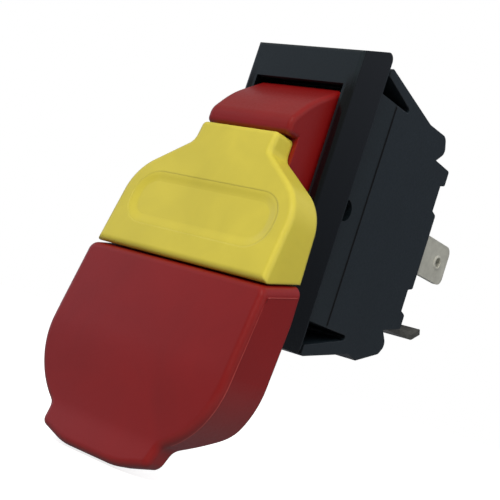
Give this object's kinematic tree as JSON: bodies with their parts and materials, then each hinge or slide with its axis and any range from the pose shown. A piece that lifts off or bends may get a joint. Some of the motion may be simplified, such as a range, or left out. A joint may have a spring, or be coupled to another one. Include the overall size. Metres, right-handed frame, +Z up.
{
  "type": "paddle safety switch",
  "caption": "Narrow panel switch: a red hooded paddle lifts to start and presses to stop, with a pull-out yellow lock key and push-on tabs behind.",
  "frame": {"origin": "middle of the bezel's back face, where it seats on the panel, level with the rocker's pivot", "axes": "+Y into the panel, +Z up, +X to the right as seen from the front"},
  "size_m": [0.0314, 0.0567, 0.0622],
  "materials": {
    "black_nylon": "satin, fine moulded grain",
    "red_plastic": "satin",
    "yellow_plastic": "satin",
    "white_acetal": "satin",
    "dark_steel": "blackened",
    "spring_steel": "drawn wire",
    "copper_strip": "rolled copper",
    "silver_contact": "dull silver",
    "tinned_brass": "matt tin plate"
  },
  "bodies": {
    "housing": {"bezel_frame": "black_nylon", "contact_base": "black_nylon", "pivot_pin": "dark_steel", "line_terminal_left": "tinned_brass", "line_terminal_right": "tinned_brass", "load_terminal_left": "tinned_brass", "load_terminal_right": "tinned_brass", "fixed_contact_left": "silver_contact", "fixed_contact_right": "silver_contact"},
    "rocker": {"rocker": "red_plastic", "lock_spring": "spring_steel", "key_clip": "spring_steel", "plunger_spring_left": "spring_steel", "plunger_spring_right": "spring_steel"},
    "key": {"lock_key": "yellow_plastic"},
    "bolt": {"lock_bolt": "black_nylon"},
    "plunger_left": {"plunger_left": "white_acetal"},
    "arm_left": {"contact_arm_left": "copper_strip", "moving_contact_left": "silver_contact"},
    "plunger_right": {"plunger_right": "white_acetal"},
    "arm_right": {"contact_arm_right": "copper_strip", "moving_contact_right": "silver_contact"}
  },
  "joints": [
    {"name": "rocker_hinge", "type": "hinge", "parent": "housing", "child": "rocker", "pos_m": [0, 0.0017, 0], "axis": [-1, 0, 0], "range_deg": [0, 18]},
    {"name": "key_slide", "type": "slide", "parent": "rocker", "child": "key", "axis": [0, -1, 0], "range_m": [0, 0.018]},
    {"name": "bolt_slide", "type": "slide", "parent": "rocker", "child": "bolt", "axis": [0, 0, -1], "range_m": [0, 0.00252], "deforming": ["lock_spring"]},
    {"name": "arm_left_hinge", "type": "hinge", "parent": "housing", "child": "arm_left", "pos_m": [-0.0044, 0.0197, 0], "axis": [1, 0, 0], "range_deg": [0, 13.5]},
    {"name": "plunger_left_slide", "type": "slide", "parent": "rocker", "child": "plunger_left", "axis": [0, -0.9877, -0.1564], "range_m": [0, 0.0008], "stiffness_N_per_m": 800, "springref_m": -0.003, "deforming": ["plunger_spring_left"]},
    {"name": "arm_right_hinge", "type": "hinge", "parent": "housing", "child": "arm_right", "pos_m": [0.0044, 0.0197, 0], "axis": [1, 0, 0], "range_deg": [0, 13.5]},
    {"name": "plunger_right_slide", "type": "slide", "parent": "rocker", "child": "plunger_right", "axis": [0, -0.9877, -0.1564], "range_m": [0, 0.0008], "stiffness_N_per_m": 800, "springref_m": -0.003, "deforming": ["plunger_spring_right"]}
  ],
  "couplings": [
    {"joint": "bolt_slide", "follows": "key_slide", "ratio": 0.14},
    {"joint": "arm_left_hinge", "follows": "rocker_hinge", "ratio": 0.75},
    {"joint": "arm_right_hinge", "follows": "rocker_hinge", "ratio": 0.75}
  ]
}
